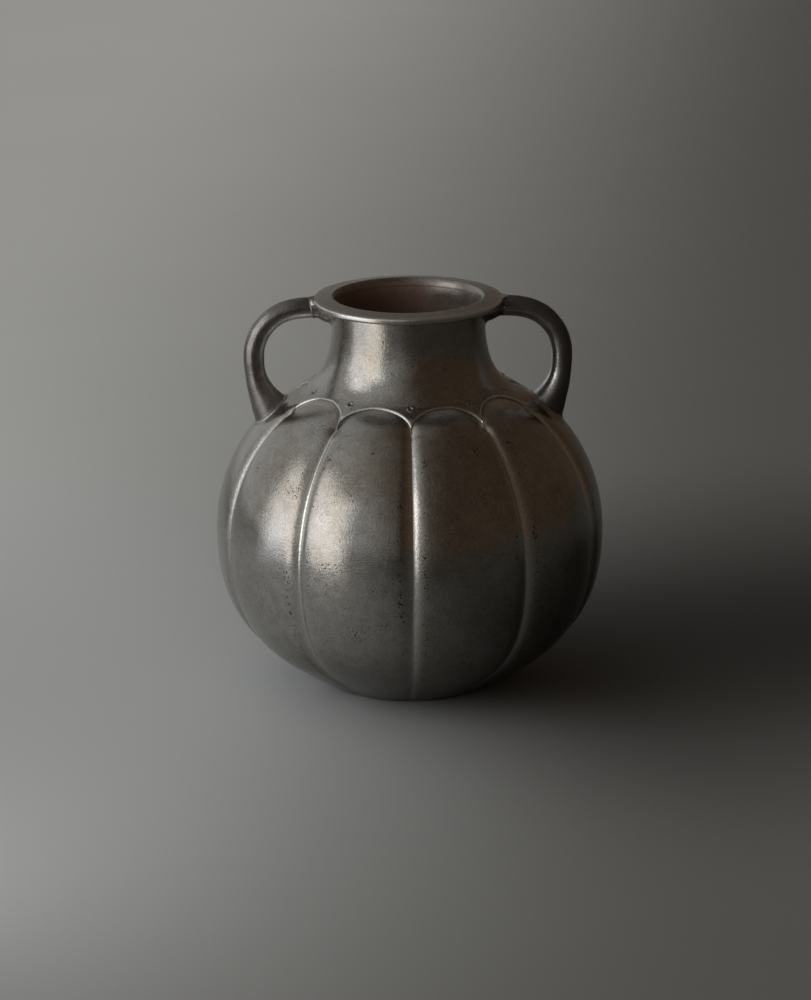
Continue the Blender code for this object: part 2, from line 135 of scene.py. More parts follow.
def ripple(points, wavelength, seed):
    # Gentle unevenness between -1 and 1: the mean of seven sine waves that run in seeded directions
    # through space, with lengths round the given wavelength
    waves = 7
    rng = np.random.default_rng(seed)
    total = 0
    for _ in range(waves):
        direction = unit(rng.normal(size=3))
        wave = 2 * pi / (wavelength * rng.uniform(0.7, 1.4))
        total = total + np.sin(points @ direction * wave + rng.uniform(0, 2 * pi))
    return total / waves


# Materials

def hexColour(code):
    # sRGB hex to linear: c/12.92 below 0.04045, else ((c + 0.055)/1.055)^2.4
    channels = np.array([int(code[i:i + 2], 16) / 255 for i in (1, 3, 5)])
    linear = np.where(channels <= 0.04045, channels / 12.92, ((channels + 0.055) / 1.055) ** 2.4)
    return (*linear.tolist(), 1.0)


def mainOutput(source):
    # A node's first output that is in use. An output stays what it is
    if isinstance(source, bpy.types.NodeSocket):
        return source
    return next(output for output in source.outputs if output.enabled)


def addNode(tree, kind, settings=None, links=None):
    # Adds a shader node. A setting is a property of the node or the value of an input, by name or
    # number, and a link goes from another node, or one of its outputs, to an input
    node = tree.nodes.new("ShaderNode" + kind)
    for key, value in (settings or {}).items():
        if isinstance(key, str) and hasattr(node, key):
            setattr(node, key, value)
        else:
            node.inputs[key].default_value = value
    for key, source in (links or {}).items():
        tree.links.new(mainOutput(source), node.inputs[key])
    return node


def addMaterial(name):
    # A material, its node tree, its shader and the place on the object
    material = bpy.data.materials.new(name)
    material.use_nodes = True
    tree = material.node_tree
    return material, tree, tree.nodes["Principled BSDF"], addNode(tree, "TexCoord").outputs["Object"]


def pewterMaterial(name, look):
    # Cast pewter, hand scraped and polished, then darkened by age. To the eye: a soft grey mirror
    # with blotches of browner patina, a fine grain that frays the highlights, dark casting pits in
    # patches, grime with painted shade in the creases, and brighter metal where hands and cloths rub,
    # which also carries painted highlights and a painted reflection
    material, tree, shader, place = addMaterial(name)
    grimeAndShade, wearAndSheen, paintedReflection, porous, skinAndPaintedLight, inside = (
        addNode(tree, "Attribute", {"attribute_name": mark}).outputs["Fac"]
        for mark in ("grimeAndShade", "wearAndSheen", "paintedReflection", "porous", "skinAndPaintedLight", "inside"))

    # Noises, by the size in mm of what they draw: patina in blotches, mottling, patches of pits,
    # grain, which is drawn that coarse so that it shows, and the fraying of the pits' outlines
    blotch, mottle, patches, grain, fray = (
        addNode(tree, "TexNoise", {"Scale": 1 / (size * mm), "Detail": detail, "Roughness": roughness},
                {"Vector": place})
        for size, detail, roughness in (
            (30, 4, 0.55), (5, 5, 0.6), (14, 5, 0.75), (0.9, 3, 0.65), (0.6, 2, 0.5)))
    blotchShare, mottleShare, grainShare = (
        addNode(tree, "MapRange", {"From Min": low, "From Max": high}, {"Value": noise})
        for noise, low, high in ((blotch, 0.38, 0.66), (mottle, 0.3, 0.7), (grain, 0.35, 0.65)))

    # Casting pits: the middles of Voronoi cells 1.5 mm and 0.8 mm apart, only where the patches'
    # noise is high, and more of them where the mesh says that the casting is porous. The real ones
    # are up to 0.5 mm wide; here they reach 0.8 mm, so that they show
    patchy = addNode(tree, "Math", {"operation": "MULTIPLY_ADD", 1: 0.11}, {0: porous, 2: patches})
    pit = None
    for spacing, threshold in ((1.5, 0.445), (0.8, 0.45)):
        cells = addNode(tree, "TexVoronoi", {"Scale": 1 / (spacing * mm)}, {"Vector": place})
        size = addNode(tree, "MapRange", {"From Min": threshold, "From Max": 0.70, "To Min": -0.08,
                                          "To Max": look["pits"]}, {"Value": patchy})
        frayed = addNode(tree, "Math", {"operation": "MULTIPLY_ADD", 1: 0.3}, {0: fray, 2: cells})
        shifted = addNode(tree, "Math", {"operation": "SUBTRACT", 1: 0.15}, {0: frayed})
        found = addNode(tree, "Math", {"operation": "LESS_THAN"}, {0: shifted, 1: size})
        pit = found if pit is None else addNode(tree, "Math", {"operation": "MAXIMUM"}, {0: pit, 1: found})

    # Colour in layers, from the metal up. Where the mesh carries a painted reflection, the colour is
    # paler and the patina thin, but the pits stay dark. Where it carries grime with painted shade it is
    # darker, and where it carries wear with painted highlights it is brighter. Where the casting's skin
    # is left, with painted light, the metal is paler. Inside, where nothing was ever scraped or
    # polished, a brown oxide covers it. Mottling and speckles multiply the colour below them
    grimeAndShadeShare = addNode(tree, "Math", {"operation": "MULTIPLY", 1: look["grimeAndShadeAmount"]}, {0: grimeAndShade})
    wearAndSheenShare = addNode(tree, "Math", {"operation": "MULTIPLY", 1: look["wearAndSheenAmount"]}, {0: wearAndSheen})
    colour = addNode(tree, "Mix", {"data_type": "RGBA", 6: hexColour(look["metal"]),
                                   7: hexColour(look["patina"])}, {0: blotchShare})
    layers = (("brightMetalAndSheen", paintedReflection), ("mottling", mottleShare), ("darkening", pit), ("darkening", grimeAndShadeShare),
              ("brightMetalAndSheen", wearAndSheenShare), ("skinAndPaintedLight", skinAndPaintedLight), ("oxide", inside), ("speckle", grainShare))
    for layer, share in layers:
        if layer in ("mottling", "speckle"):
            settings, links = {"blend_type": "MULTIPLY", 0: look[layer]}, {6: colour, 7: share}
        else:
            settings, links = {7: hexColour(look[layer])}, {6: colour, 0: share}
        colour = addNode(tree, "Mix", {"data_type": "RGBA", **settings}, links)

    # The patina is partly a dull film, which takes 8% of the metal's mirror away. Grime with painted
    # shade, casting skin with painted light, and oxide take up to 85% of it
    film = addNode(tree, "Math", {"operation": "MULTIPLY_ADD", 1: -0.08, 2: 1.0}, {0: blotchShare})
    skinAndOxide = addNode(tree, "Math", {"operation": "MAXIMUM"}, {0: skinAndPaintedLight, 1: inside})
    dullness = addNode(tree, "Math", {"operation": "MAXIMUM"}, {0: grimeAndShadeShare, 1: skinAndOxide})
    metallic = addNode(tree, "Math", {"operation": "MULTIPLY_ADD", 1: -0.85}, {0: dullness, 2: film})

    # Roughness follows the mottling, and is higher in pits and under grime, painted shade, skin and oxide
    polish = addNode(tree, "MapRange", {"From Min": 0.3, "From Max": 0.7, "To Min": look["roughness"] - 0.05,
                                        "To Max": look["roughness"] + 0.07}, {"Value": mottle})
    roughPits = addNode(tree, "Math", {"operation": "MULTIPLY_ADD", 1: 0.25}, {0: pit, 2: polish})
    rough = addNode(tree, "Math", {"operation": "MULTIPLY_ADD", 1: 0.42}, {0: dullness, 2: roughPits})

    # Relief in mm: grain, scrape marks 1.2 mm wide and 16 mm long, and the pits
    stretched = addNode(tree, "Mapping", {"Rotation": (0.35, 0.2, 0.5), "Scale": (1 / (1.2 * mm),
                                          1 / (1.2 * mm), 1 / (16 * mm))}, {"Vector": place})
    scrapes = addNode(tree, "TexNoise", {"Scale": 1.0, "Detail": 2, "Roughness": 0.5}, {"Vector": stretched})
    relief = addNode(tree, "Bump", {"Strength": look["grain"], "Distance": 0.1 * mm}, {"Height": grain})
    relief = addNode(tree, "Bump", {"Strength": look["scrapes"], "Distance": 0.1 * mm},
                     {"Height": scrapes, "Normal": relief})
    relief = addNode(tree, "Bump", {"Strength": 0.5, "Distance": 0.2 * mm, "invert": True},
                     {"Height": pit, "Normal": relief})
    sources = {"Base Color": colour, "Metallic": metallic, "Roughness": rough, "Normal": relief}
    for socket, source in sources.items():
        tree.links.new(mainOutput(source), shader.inputs[socket])
    material.diffuse_color = hexColour(look["metal"])
    return material


castPewter = pewterMaterial("cast_pewter_aged", {
    "metal": "#9c9994", "patina": "#8c857a", "brightMetalAndSheen": "#cecbc5", "darkening": "#241f1b", "oxide": "#785d50",
    "skinAndPaintedLight": "#aaa69e", "speckle": 0.28, "mottling": 0.20, "roughness": 0.14, "pits": 0.30,
    "grimeAndShadeAmount": 0.75, "wearAndSheenAmount": 0.8, "grain": 0.95, "scrapes": 0.3,
})
handlePewter = pewterMaterial("handle_pewter_brown_patina", {
    "metal": "#7e7a78", "patina": "#6b645f", "brightMetalAndSheen": "#d3d1d2", "darkening": "#2a221d", "oxide": "#785d50",
    "skinAndPaintedLight": "#8a847e", "speckle": 0.3, "mottling": 0.3, "roughness": 0.21, "pits": 0.28,
    "grimeAndShadeAmount": 0.78, "wearAndSheenAmount": 0.9, "grain": 1.0, "scrapes": 0.4,
})
solderPewter = pewterMaterial("tin_lead_solder", {
    "metal": "#98968f", "patina": "#7f7b73", "brightMetalAndSheen": "#bdbab1", "darkening": "#2f2a24", "oxide": "#785d50",
    "skinAndPaintedLight": "#98958d", "speckle": 0.25, "mottling": 0.35, "roughness": 0.38, "pits": 0.22,
    "grimeAndShadeAmount": 0.5, "wearAndSheenAmount": 0.4, "grain": 1.0, "scrapes": 0.3,
})
print("materials made")


# The lobes' crest line, and the shapes that body and neck share. Lengths here are in mm

profile = {
    "footRadius": 39.6, "footLift": 0.4, "footSlope": 31, "footEase": 0.64,
    "bodyRadius": 88.2, "widestHeight": 71, "bellyEaseBelow": 0.62, "bellyEaseAbove": 0.57,
    "shoulderRadius": 50, "shoulderHeight": 136.4, "shoulderSlope": 25,
    "shoulderEaseOut": 0.41, "shoulderEaseIn": 0.46,
    "neckRadius": 34.7, "neckEase": 0.76, "neckFootHeight": 168.1, "neckTopHeight": 176.38, "neckTilt": 1.5,
}
lobes = {
    "count": 10, "grooveDepth": 3.0, "grooveFade": 20, "edgeStart": 0.74, "edgeShare": 0.5,
    "valleyRound": 0.030, "springRadius": 57.5, "crownRadius": 45.8, "archPower": 2.2,
    "edgeStep": 0.8, "tipLength": 6, "edgeRound": 1.05, "dotRise": 0.6, "collarRise": 4.3,
    "waviness": 0.22, "unevenness": 0.09, "columns": 54,
}


def crestLine():
    # Radius and height from the foot to the neck's top: three Bezier curves, then a straight neck.
    # A curve's middle points lie along its ends' slopes, as far out as its eases say
    p = profile
    foot, belly, shoulder, neckFoot = np.array([
        (p["footRadius"], p["footLift"]), (p["bodyRadius"], p["widestHeight"]),
        (p["shoulderRadius"], p["shoulderHeight"]), (p["neckRadius"], p["neckFootHeight"])])
    slope, lean = radians(p["footSlope"]), radians(p["shoulderSlope"])
    outUp, up, outDown, inUp = np.array([
        (cos(slope), sin(slope)), (0, 1), (cos(lean), -sin(lean)), (-tan(radians(p["neckTilt"])), 1)])
    lower = bezier([foot, foot + p["footEase"] * (belly - foot)[0] * outUp,
                    belly - p["bellyEaseBelow"] * (belly - foot)[1] * up, belly], 500)
    upper = bezier([belly, belly + p["bellyEaseAbove"] * (shoulder - belly)[1] * up,
                    shoulder + p["shoulderEaseOut"] * (belly - shoulder)[0] * outDown, shoulder], 500)
    throat = bezier([shoulder, shoulder - p["shoulderEaseIn"] * (shoulder - neckFoot)[0] * outDown,
                     neckFoot - p["neckEase"] * (neckFoot - shoulder)[1] * inUp, neckFoot], 500)
    neckTop = neckFoot + (p["neckTopHeight"] - neckFoot[1]) * inUp
    return np.concatenate([lower, upper[1:], throat[1:], np.linspace(neckFoot, neckTop, 60)[1:]])


crest = crestLine()
crestRun, crestSlope = measure(crest)
topRun = crestRun[-1]
widest = int(np.argmax(crest[:, 0]))


def runAtRadius(radius):
    # Distance along the crest line, above the widest place, to where it has this radius
    return np.interp(-np.asarray(radius), -crest[widest:, 0], crestRun[widest:])


springRun = float(runAtRadius(lobes["springRadius"]))
crownRun = float(runAtRadius(lobes["crownRadius"]))
collarRun = crownRun + lobes["collarRise"]
archHeight = crownRun - springRun
archHalfWidth = lobes["springRadius"] * pi / lobes["count"]
lobeAngle = 2 * pi / lobes["count"]
dotRun = crownRun + lobes["dotRise"]


def archRun(across):
    # The arch over a lobe is half a superellipse: across^n + rise^n = 1
    n = lobes["archPower"]
    return springRun + archHeight * (1 - np.abs(across) ** n) ** (1 / n)


def archLean(across):
    # Its slope, run over width, held at 6 near the grooves
    n = lobes["archPower"]
    a = np.minimum(np.abs(across), 0.995)
    return np.minimum(archHeight / archHalfWidth * a ** (n - 1) * (1 - a**n) ** (1 / n - 1), 6)


def archClimb(run):
    # Share of the way up an arch, from 0 where it springs to 1 at its crown
    return np.clip((run - springRun) / archHeight, 0, 1)


def roundUnion(first, second, reach):
    # Two distance fields joined with a fillet: min(a, b) - max(reach - |a - b|, 0)^2 / (4 reach)
    return np.minimum(first, second) - np.maximum(reach - np.abs(first - second), 0) ** 2 / (4 * reach)


def filletTo(rings, ownDistance, otherDistance, reach):
    # Moves a surface out along its normals until it lies on the filleted union with another form.
    # What lies deep inside the other form stays where it is, out of sight
    normals = np.cross(np.roll(rings, -1, axis=1) - np.roll(rings, 1, axis=1), np.gradient(rings, axis=0))
    normals /= np.maximum(np.linalg.norm(normals, axis=2, keepdims=True), 1e-9)
    own = ownDistance(rings)
    normals *= np.where(ownDistance(rings + 0.05 * normals) < own, -1, 1)[:, :, None]
    near = otherDistance(rings) < reach * 1.5
    moved = rings.copy()
    for _ in range(4):
        gap = roundUnion(ownDistance(moved) - own, otherDistance(moved), reach)
        shift = np.clip(-gap, 0, reach / 2) * near
        moved = moved + normals * shift[:, :, None] * 0.8
    travel = np.linalg.norm(moved - rings, axis=2, keepdims=True)
    return rings + (moved - rings) * np.minimum(1, 0.6 * reach / np.maximum(travel, 1e-9))


def valleyDepth(run):
    # Depth of a groove's line: in step with the radius, less towards the foot, nothing at the crown
    share = np.minimum(np.interp(run, crestRun, crest[:, 0]) / profile["bodyRadius"], 1)
    fade = 0.35 + 0.65 * smooth(run / lobes["grooveFade"])
    return lobes["grooveDepth"] * share * fade * (1 - archClimb(run)) ** 1.5


def cushion(ratio):
    # Across a lobe from crest to edge: a parabola, with a steeper curve that starts near the edge
    edge = np.maximum(0, (ratio - lobes["edgeStart"]) / (1 - lobes["edgeStart"]))
    return (1 - lobes["edgeShare"]) * ratio**2 + lobes["edgeShare"] * edge**2.5


def lobeDepth(across, run):
    # Depth of a lobe's surface below the crest line. Near a groove the distance to it is replaced
    # by a hyperbola, sqrt(d^2 + w^2) - w, which rounds the valley. The step's share of the depth is
    # a parabola between grooves, and nearly a straight slope up to the arch
    w = lobes["valleyRound"]
    apart = (np.sqrt((1 - np.abs(across)) ** 2 + w * w) - w) / (np.sqrt(1 + w * w) - w)
    n = lobes["archPower"]
    climb = archClimb(run)
    ratio = np.minimum(((1 - apart) ** n + climb**n) ** (1 / n), 1)
    step = lobes["edgeStep"] * smooth(1 + (run - springRun) / lobes["tipLength"])
    return valleyDepth(run) * cushion(ratio) + step * (ratio**2 + climb * (ratio - ratio**2))


# Columns: finer towards the grooves, where the shapes are tight
spread = np.linspace(-1, 1, lobes["columns"] + 1)[:-1]
across = np.tile(np.sign(spread) * (1 - (1 - np.abs(spread)) ** 1.6), lobes["count"])
azimuth = (np.repeat(np.arange(lobes["count"]), lobes["columns"]) + across / 2) * lobeAngle


def roundAxis(radius, height):
    # Points at this radius and height in each column's direction
    return np.stack([radius * np.cos(azimuth), radius * np.sin(azimuth), height + 0 * azimuth], axis=-1)


# The arch line of each column, with the slight waviness of a line that was filed by hand, and how
# much longer a step along the crest line is than one square to the arch
archLine = archRun(across) + lobes["waviness"] * ripple(roundAxis(lobes["crownRadius"], 0), 9, 3)
archStretch = np.sqrt(1 + archLean(across) ** 2)


def shellPoints(run, depth, uneven):
    # Rings of a shell: the crest line's point at this run, moved inwards along its normal by the
    # depth and by a slight unevenness, and turned to each column's azimuth
    run = np.broadcast_to(run, depth.shape)
    radius, height, slopeOut, slopeUp = (
        np.interp(run, crestRun, values) for values in (*crest.T, *crestSlope.T))
    base = roundAxis(radius, height)
    depth = depth + uneven * lobes["unevenness"] * (1 + ripple(base, 38, 5) + 0.35 * ripple(base, 13, 8))
    return roundAxis(radius - depth * slopeUp, height + depth * slopeOut)


# The handles' line. Side -1 is the left and 1 the right. A point of the shape is a share of the
# reach, a share of the rise and how many times as thick the handle is there

handle = {
    "thickness": 9.4, "seamRadius": 43.1, "seamHeight": 174.6, "seamTilt": 1.1, "tiltWidth": 3.5,
    "straightEnd": 1.0, "earRadius": {-1: 69.9, 1: 69.4}, "footHeight": 122.2,
    "footFillet": {-1: 1.6, 1: 3.0},
    "shape": [(0.319, 0.987, 1), (0.544, 0.950, 1), (0.734, 0.884, 1), (0.897, 0.778, 1), (0.981, 0.656, 1),
              (1.0, 0.542, 1), (0.981, 0.428, 1), (0.932, 0.324, 1.15), (0.856, 0.231, 1.38),
              (0.776, 0.153, 1.68), (0.688, 0.078, 1.94), (0.608, 0.0, 2.13)],
    "sides": 64, "unevenness": 0.10, "seed": {-1: 31, 1: 37}, "wearEnd": 128, "wearFade": 16,
}


def splineThrough(knots, steps):
    # Catmull-Rom curve through the knots, level where it starts
    first = 2 * knots[0] - knots[1]
    first[1] = knots[1][1]
    ends = np.concatenate([[first], knots, [2 * knots[-1] - knots[-2]]])
    t = np.linspace(0, 1, steps, endpoint=False)[:, None]
    pieces = []
    for i in range(len(knots) - 1):
        a, b, c, d = ends[i:i + 4]
        bend = (2 * a - 5 * b + 4 * c - d) * t**2 + (3 * b - a - 3 * c + d) * t**3
        pieces.append(b + 0.5 * ((c - a) * t + bend))
    return np.concatenate(pieces + [knots[-1:]])


def tubeLine(start, straight, points, steps):
    # Centre line (distance from the axis, height) and section radius of a tube, from the joint of
    # handle and lug on: a short straight end, then a curve through the points
    joint = np.array([start, handle["seamHeight"], handle["thickness"] / 2])
    curve = splineThrough(np.array([joint + [straight, 0, 0], *points]), steps)
    return np.concatenate([joint[None], curve])


def handleLine(side, steps=14):
    # The handle's line starts 0.4 mm out from the joint, inside the solder
    p = handle
    reach = p["earRadius"][side] - p["seamRadius"]
    rise = p["seamHeight"] - p["footHeight"]
    points = [(p["seamRadius"] + outward * reach, p["footHeight"] + upward * rise, swell * p["thickness"] / 2)
              for outward, upward, swell in p["shape"]]
    return tubeLine(p["seamRadius"] + 0.4, p["straightEnd"], points, steps)


def tubeDistance(line, side):
    # Function for the distance to a tube: the least of the distances to its centre points minus the
    # radius there. What is more than 6 mm from it counts as 100 mm away
    centres = np.stack([line[:, 0], 0 * line[:, 0], line[:, 1]], axis=-1)
    reach = line[:, 2].max() + 6

    def distance(points):
        points = points * [side, 1, 1]
        near = ((points > centres.min(axis=0) - reach) & (points < centres.max(axis=0) + reach)).all(axis=2)
        found = np.full(points.shape[:2], 100.0)
        apart = np.linalg.norm(points[near][:, None] - centres[None], axis=2) - line[None, :, 2]
        found[near] = apart.min(axis=1)
        return found

    return distance


def bodyHeight(x, y):
    # Height of the lobes' surface over (x, y) on the body's upper half
    radius = np.hypot(x, y)
    turn = np.arctan2(y, x) / lobeAngle
    offset = 2 * (turn - np.round(turn))
    run = runAtRadius(radius)
    slopeOut = np.interp(run, crestRun, crestSlope[:, 0])
    return np.interp(run, crestRun, crest[:, 1]) + lobeDepth(offset, run) / slopeOut


def bodyDistance(points):
    # Height over the lobes' surface, shortened by the surface's slope
    x, y, z = points[:, :, 0], points[:, :, 1], points[:, :, 2]
    run = runAtRadius(np.hypot(x, y))
    return (z - bodyHeight(x, y)) * np.maximum(-np.interp(run, crestRun, crestSlope[:, 0]), 0.15)


# Body

body = {
    "wall": 2.9, "innerLobes": 0.85, "collarWall": 1.5, "boreRadius": 37.8, "lapDepth": 1.2, "lapWidth": 3,
    "outerRows": 112, "lapRows": 8, "innerRows": 46, "evenFoot": 12,
    # How much of each mark it has, and how wide and how far off in mm it lies
    "archGrimeAndShade": 0.45, "archGrimeAndShadeWidth": 0.4, "flankHighlight": 0.35, "flankAway": 2.6, "flankWidth": 1.2,
    "grooveHighlightWidth": 2.7, "skinAndPaintedLight": 0.45, "skinAndPaintedLightWidth": 7.5, "pitsAway": 5.5, "pitsWidth": 1.5,
    "reflectionShare": 0.6, "reflectionLow": 18, "reflectionHigh": 84, "reflectionAzimuth": 222,
}


def lapRings(gap, uneven):
    # The lap under the shoulder, from the arch line to the collar. It ramps down square to the arch
    run = between(archLine, collarRun, body["lapRows"])
    ramp = smooth((run - archLine) / archStretch / body["lapWidth"])
    return shellPoints(run, valleyDepth(run) + lobes["edgeStep"] - gap + body["lapDepth"] * ramp, uneven)


def makeBody():
    # Outside from the foot to the arches, with rows that lie closer towards the arches, the collar
    # under the shoulder, and the inside back down
    p = body
    run = (1 - (1 - np.linspace(0, 1, p["outerRows"])[:, None]) ** 1.25) * archLine
    outside = shellPoints(run, lobeDepth(across, run), smooth(run / p["evenFoot"]))
    for side in (-1, 1):
        handleDistance = tubeDistance(handleLine(side), side)
        outside = filletTo(outside, bodyDistance, handleDistance, handle["footFillet"][side])

    # A thin line against the arches is darker: painted shade, partly grime. The flanks beside them
    # and the grooves' bottoms carry painted highlights, partly wear
    toGroove = (1 - np.abs(across)) * archHalfWidth * 1.5
    toArch = (archLine - run) / archStretch
    flank = p["flankHighlight"] * bell(np.minimum(toGroove, toArch) - p["flankAway"], p["flankWidth"])
    # Close under the arches a band of the casting's pale skin is left, painted paler still: painted light
    # that lifts the lobes' tops there.
    # Rows of pits run along the grooves. They set in 12 to 32 mm below the arches and fade over the
    # lowest 40 mm. The belly's lower half on the front's left carries a painted reflection: it is
    # painted paler and brighter there
    height = outside[:, :, 2]
    towards = np.cos(azimuth - radians(p["reflectionAzimuth"]))
    marks = {
        "grimeAndShade": p["archGrimeAndShade"] * bell(toArch, p["archGrimeAndShadeWidth"]),
        "wearAndSheen": np.maximum(flank, bell(toGroove, p["grooveHighlightWidth"])),
        "skinAndPaintedLight": p["skinAndPaintedLight"] * bell(toArch, p["skinAndPaintedLightWidth"]) * smooth(1.3 - 1.5 * np.abs(across)),
        "porous": (bell(toGroove - p["pitsAway"], p["pitsWidth"]) * smooth((toArch - 12) / 20)
                   * smooth(height / 40)),
        "paintedReflection": (p["reflectionShare"] * smooth((p["reflectionHigh"] - height) / 18) * smooth((height - p["reflectionLow"]) / 25)
                  * smooth((towards - 0.55) / 0.4)),
        "inside": 0 * run,
    }

    run = np.linspace(collarRun, 0, p["innerRows"])[:, None] + 0 * across
    collarDepth = lobes["edgeStep"] + p["lapDepth"] + p["collarWall"]
    hollow = smooth(run / lobes["grooveFade"]) * p["innerLobes"] * valleyDepth(run) * cushion(np.abs(across))
    inside = shellPoints(run, p["wall"] + (collarDepth - p["wall"]) * archClimb(run) + hollow, 0)
    lowRadius = np.hypot(*inside[-1, 0, :2])
    lipHeight = inside[-1, 0, 2] - (lowRadius - p["boreRadius"]) * tan(radians(profile["footSlope"]))
    lip, foot = (roundAxis(p["boreRadius"], level)[None] for level in (lipHeight, profile["footLift"]))
    rings = np.concatenate([outside, lapRings(0, 1), inside, lip, foot])
    hidden = np.zeros((len(rings) - len(outside), len(azimuth)))
    marks = {mark: np.concatenate([values, hidden + (mark == "inside")]) for mark, values in marks.items()}
    makePiece("bodyShellCast", rings, castPewter, "body_shell", marks=marks)


makeBody()
print("body made")


# The rim's section and the lugs' line

rim = {
    "height": 180, "radius": 42.9, "thickness": 3.6, "fall": 1.0, "edgeRound": 0.8,
    "bore": 31.6, "lipWidth": 2.8, "lipRound": 9, "lipStart": 0.3, "steps": 360, "unevenness": 0.05,
    "filletFrom": 36, "topBand": 0.9, "topGrime": 0.26, "underGrime": 0.1, "bareInside": 0.62,
}
lug = {
    "inner": 33.2, "drop": 1.6, "shape": [(0.31, 0.25, 1.04), (0.66, 0.71, 1.18), (1.0, 1.0, 1.30)],
    "fillet": 2.2, "sides": 96, "unevenness": 0.06,
    # Its top over the distance from the axis: it falls with the rim's, dips inwards and rises outwards
    "fallFrom": 34.6, "fallWidth": 8.3, "sink": 0.25, "dipFrom": 33.5, "dipWidth": 2.5, "dip": 2.0,
    "riseFrom": 41, "riseWidth": 2.1, "rise": 0.55,
}


def lugLine():
    # A lug's line runs inwards from 0.2 mm outside the joint. A point of its shape is a share of the
    # way in, a share of the drop and how many times as thick it is there
    p = handle
    start = p["seamRadius"] + 0.2
    points = [(start + inward * (lug["inner"] - start), p["seamHeight"] - drop * lug["drop"],
               swell * p["thickness"] / 2) for inward, drop, swell in lug["shape"]]
    return tubeLine(start, -p["straightEnd"], points, 10)


def filletToLugs(rings, ownDistance):
    # A surface with its fillets to both lugs
    for side in (-1, 1):
        rings = filletTo(rings, ownDistance, tubeDistance(lugLine(), side), lug["fillet"])
    return rings


def rimDistance(points):
    # Distance to the rim's section, a rectangle with rounded corners whose top falls outwards
    p = rim
    radius = np.hypot(points[:, :, 0], points[:, :, 1])
    low = p["height"] - p["thickness"]
    topStart = p["bore"] + p["lipWidth"]
    high = p["height"] - p["fall"] * np.clip((radius - topStart) / (p["radius"] - topStart), 0, 1)
    r = p["edgeRound"]
    beside = np.abs(radius - (p["bore"] + p["radius"]) / 2) - (p["radius"] - p["bore"]) / 2 + r
    over = np.abs(points[:, :, 2] - (low + high) / 2) - (high - low) / 2 + r
    return np.hypot(np.maximum(beside, 0), np.maximum(over, 0)) + np.minimum(np.maximum(beside, over), 0) - r


def neckDistance(points):
    # Distance from the neck's outside, measured level
    outline = np.interp(points[:, :, 2], crest[widest:, 1], crest[widest:, 0])
    return np.hypot(points[:, :, 0], points[:, :, 1]) - outline


def bareShare(angle):
    # Share of bare metal inside the mouth: none on the left, the most on the right
    return rim["bareInside"] * smooth((np.cos(angle) - 0.1) / 0.4)


# Shoulder and neck

neck = {
    "wall": 2.85, "dotDepth": 0.55, "dotRadius": 0.75, "burr": 0.22, "burrRadius": 1.25, "burrWidth": 0.35,
    "bandRise": 2.8, "bandRows": 33, "topRows": 60, "innerRows": 40, "bareHeight": 12,
    "skirtDrop": 0.25, "lapGap": 0.1, "notchRise": 2.6, "notchDepth": 1.6, "innerStart": 3.8,
    "dotGrimeAndShadeWidth": 0.8, "rimShadow": 0.8, "rimShadowWidth": 1.0, "edgeHighlightAt": 0.55, "edgeHighlightWidth": 0.4,
}


